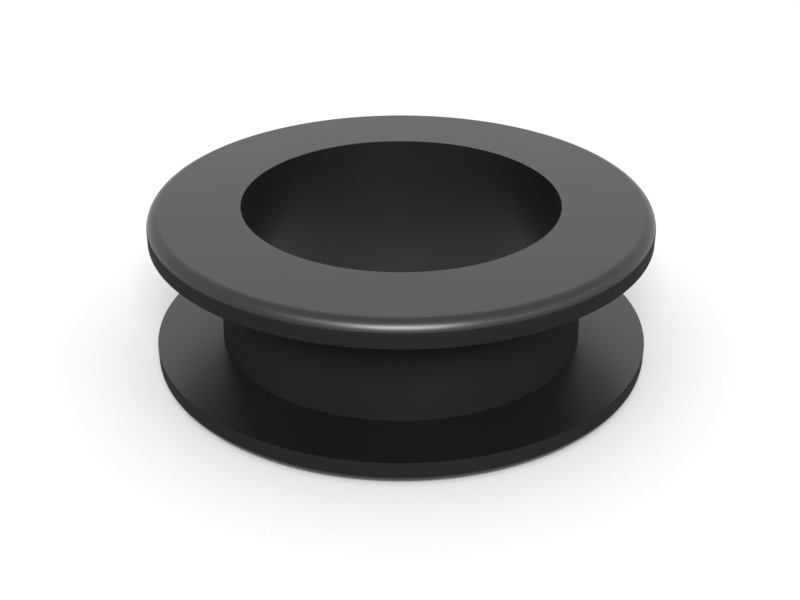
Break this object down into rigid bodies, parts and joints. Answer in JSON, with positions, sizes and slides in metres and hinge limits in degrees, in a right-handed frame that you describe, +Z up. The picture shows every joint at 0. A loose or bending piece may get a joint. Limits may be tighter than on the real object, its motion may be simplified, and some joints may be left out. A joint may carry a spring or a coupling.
{
  "type": "rubber grommet",
  "caption": "Black rubber grommet with a rounded flange at each end, a groove that holds a panel's edge and a straight bore for a cable to pass through.",
  "frame": {"origin": "on the bore's axis, at the outer face of the lower flange, which the grommet stands on", "axes": "+Z runs up along the bore; the grommet is round about Z, so X and Y are free"},
  "size_m": [0.03, 0.03, 0.0099],
  "materials": {
    "rubber": "moulded black rubber, with a soft satin sheen on the faces and rounded edges and a matt skin on the walls and the neck"
  },
  "bodies": {
    "root": {"grommet": "rubber"}
  },
  "joints": []
}
